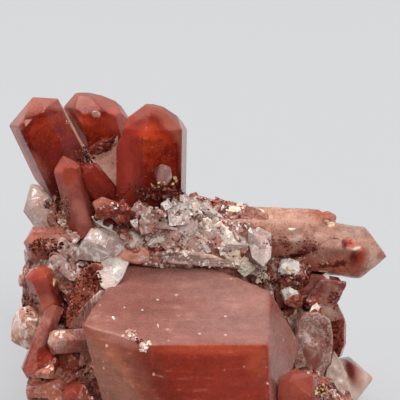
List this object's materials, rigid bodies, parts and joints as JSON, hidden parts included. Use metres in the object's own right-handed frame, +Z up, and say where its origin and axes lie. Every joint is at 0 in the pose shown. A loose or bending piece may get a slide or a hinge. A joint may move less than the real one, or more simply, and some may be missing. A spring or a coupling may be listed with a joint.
{
  "type": "hematoid quartz specimen",
  "caption": "Free-standing cluster of red and rose hematoid quartz crystals on a rough stained matrix, cut flat at the base to rest on a shelf.",
  "frame": {"origin": "centre of the footprint of the whole cluster, on the flat cut of the base", "axes": "+X to the right along the arm crystal, +Y away from the large front crystal, +Z up out of the base"},
  "size_m": [0.0642, 0.0608, 0.0606],
  "materials": {
    "rose_quartz_skin": "natural crystal faces of hazy rose quartz, satin gloss, fine growth lines",
    "red_phantom_quartz": "clear quartz skin over a mottled red iron-oxide phantom, glossy",
    "pale_quartz": "pale hazy see-through quartz with veils and fractures, glossy",
    "smoky_quartz": "brown see-through quartz with fractures, glossy",
    "hematite_stained_rock": "rough broken quartz stained by hematite, with dark red grains and cream clay infill"
  },
  "bodies": {
    "root": {"block_brown_right": "smoky_quartz", "block_clear_front": "pale_quartz", "block_cleavage": "pale_quartz", "block_flake_right": "pale_quartz", "block_grey_arm": "pale_quartz", "block_red_left": "red_phantom_quartz", "block_slab_right": "smoky_quartz", "block_white_left": "pale_quartz", "crystal_arm": "rose_quartz_skin", "crystal_arm_low": "smoky_quartz", "crystal_back_centre": "red_phantom_quartz", "crystal_back_left": "rose_quartz_skin", "crystal_back_low": "pale_quartz", "crystal_back_low_right": "red_phantom_quartz", "crystal_back_right": "rose_quartz_skin", "crystal_back_small": "red_phantom_quartz", "crystal_back_twin": "pale_quartz", "crystal_back_upper": "rose_quartz_skin", "crystal_beside_main": "rose_quartz_skin", "crystal_blob_left": "rose_quartz_skin", "crystal_corner": "pale_quartz", "crystal_druse_left": "rose_quartz_skin", "crystal_fan_left": "red_phantom_quartz", "crystal_fan_middle": "red_phantom_quartz", "crystal_fan_right": "red_phantom_quartz", "crystal_low_left": "red_phantom_quartz", "crystal_main": "rose_quartz_skin", "crystal_oblique_left": "rose_quartz_skin", "crystal_prism_dark": "red_phantom_quartz", "crystal_prism_front": "rose_quartz_skin", "crystal_prism_low": "red_phantom_quartz", "crystal_red_left": "red_phantom_quartz", "crystal_side_left": "rose_quartz_skin", "crystal_side_left_low": "rose_quartz_skin", "crystal_side_right": "pale_quartz", "crystal_side_right_low": "red_phantom_quartz", "crystal_wedge_left": "pale_quartz", "matrix": "hematite_stained_rock"}
  },
  "joints": []
}
